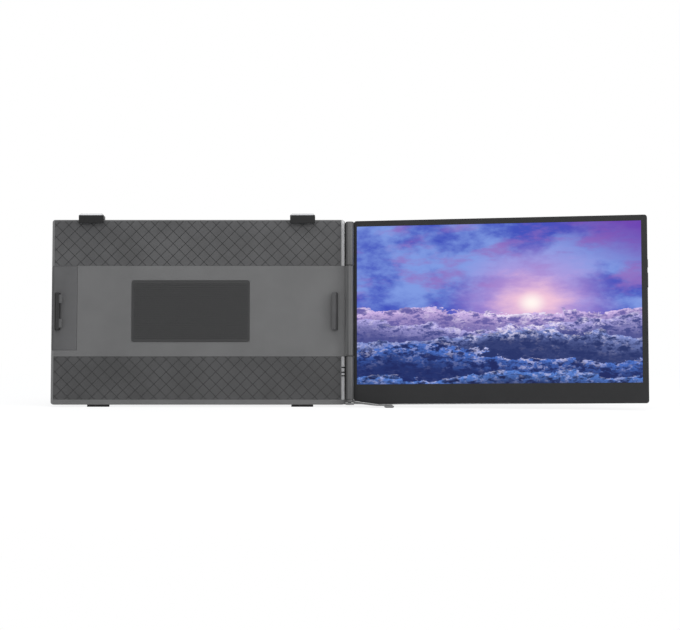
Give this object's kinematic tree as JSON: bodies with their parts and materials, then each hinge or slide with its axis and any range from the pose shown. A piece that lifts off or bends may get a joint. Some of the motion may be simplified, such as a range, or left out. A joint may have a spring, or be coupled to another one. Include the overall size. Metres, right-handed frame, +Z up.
{
  "type": "clip-on portable monitor",
  "caption": "Portable side screen on a flat holder that hooks and clips onto a laptop lid, joined by an upright friction hinge, with a swing-out leg underneath.",
  "frame": {"origin": "on the desk, under the middle of the whole part's footprint at rest", "axes": "+X from the holder towards the screen, +Y away from the viewer, towards the holder's back, +Z up"},
  "size_m": [0.6484, 0.0852, 0.2122],
  "materials": {
    "holder_plastic": "satin",
    "holder_back": "matte",
    "lattice_panel": "matte",
    "grip_rubber": "matte",
    "clip_plastic": "satin",
    "arm_plastic": "satin",
    "nylon": "satin",
    "plate_steel": "satin",
    "screw_steel": "satin",
    "hinge_metal": "satin",
    "shaft_steel": "polished",
    "bezel_plastic": "satin",
    "screen_back": "matte",
    "display_glass": "gloss",
    "light_unit": "satin",
    "circuit_board": "satin",
    "flat_cable": "satin",
    "socket_metal": "satin",
    "socket_plastic": "satin",
    "speaker_plastic": "matte",
    "button_plastic": "satin",
    "leg_steel": "satin"
  },
  "bodies": {
    "holder": {"base_rear_shell": "holder_back", "base_front_frame": "holder_plastic", "upper_texture_panel": "lattice_panel", "lower_texture_panel": "lattice_panel", "centre_pad": "grip_rubber", "right_clip": "clip_plastic", "right_clip_pad": "grip_rubber", "arm_guides": "nylon", "hook_guides": "nylon", "base_stiffener": "plate_steel", "base_screws": "screw_steel", "edge_bumper": "grip_rubber", "hinge_spine": "hinge_metal", "upper_friction_sleeve": "shaft_steel", "lower_friction_sleeve": "shaft_steel", "base_feet": "grip_rubber", "leg_bracket": "hinge_metal"},
    "slide_arm": {"left_slide_arm": "arm_plastic", "left_clip": "clip_plastic", "left_clip_pad": "grip_rubber"},
    "left_hook": {"left_top_hook": "clip_plastic", "left_hook_pad": "grip_rubber"},
    "right_hook": {"right_top_hook": "clip_plastic", "right_hook_pad": "grip_rubber"},
    "screen": {"monitor_rear_shell": "screen_back", "screen_bezel": "bezel_plastic", "lcd_panel": "display_glass", "backlight_unit": "light_unit", "driver_board": "circuit_board", "panel_flex": "flat_cable", "usb_c_ports": "socket_metal", "mini_video_port": "socket_metal", "audio_jack": "socket_plastic", "speakers": "speaker_plastic", "button_board": "circuit_board", "monitor_screws": "screw_steel", "upper_knuckle": "hinge_metal", "lower_knuckle": "hinge_metal", "upper_hinge_shaft": "shaft_steel", "lower_hinge_shaft": "shaft_steel", "hinge_caps": "clip_plastic"},
    "power_button": {"power_button": "button_plastic"},
    "menu_rocker": {"menu_rocker": "button_plastic"},
    "leg": {"leg_arm": "leg_steel", "leg_pin": "leg_steel"},
    "foot": {"leg_foot": "leg_steel", "foot_pin": "leg_steel", "foot_pads": "grip_rubber"}
  },
  "joints": [
    {"name": "screen_hinge", "type": "hinge", "parent": "holder", "child": "screen", "pos_m": [0.00396, 0.01047, 0.00296], "axis": [0, 0.0922, 0.9957], "range_deg": [-169.66, 10.34]},
    {"name": "arm_slide", "type": "slide", "parent": "holder", "child": "slide_arm", "axis": [-1, 0, 0], "range_m": [0, 0.06]},
    {"name": "left_hook_lift", "type": "slide", "parent": "holder", "child": "left_hook", "axis": [0, 0.0922, 0.9957], "range_m": [0, 0.045]},
    {"name": "right_hook_lift", "type": "slide", "parent": "holder", "child": "right_hook", "axis": [0, 0.0922, 0.9957], "range_m": [0, 0.045]},
    {"name": "power_press", "type": "slide", "parent": "screen", "child": "power_button", "axis": [-0.9838, 0.1787, -0.0165], "range_m": [0, 0.0004], "stiffness_N_per_m": 600, "springref_m": -0.0005},
    {"name": "menu_rock", "type": "hinge", "parent": "screen", "child": "menu_rocker", "pos_m": [0.32283, -0.02568, 0.13887], "axis": [0.1795, 0.9796, -0.0907], "range_deg": [-2.5, 2.5], "stiffness_Nm_per_rad": 0.05},
    {"name": "leg_swing", "type": "hinge", "parent": "holder", "child": "leg", "pos_m": [0.00396, 0.01047, 0.00349], "axis": [0, 0, 1], "range_deg": [-165, 0]},
    {"name": "foot_turn", "type": "hinge", "parent": "leg", "child": "foot", "pos_m": [0.04694, 0.00443, 0.0005], "axis": [0, 0, 1], "range_deg": [-105, 0]}
  ]
}
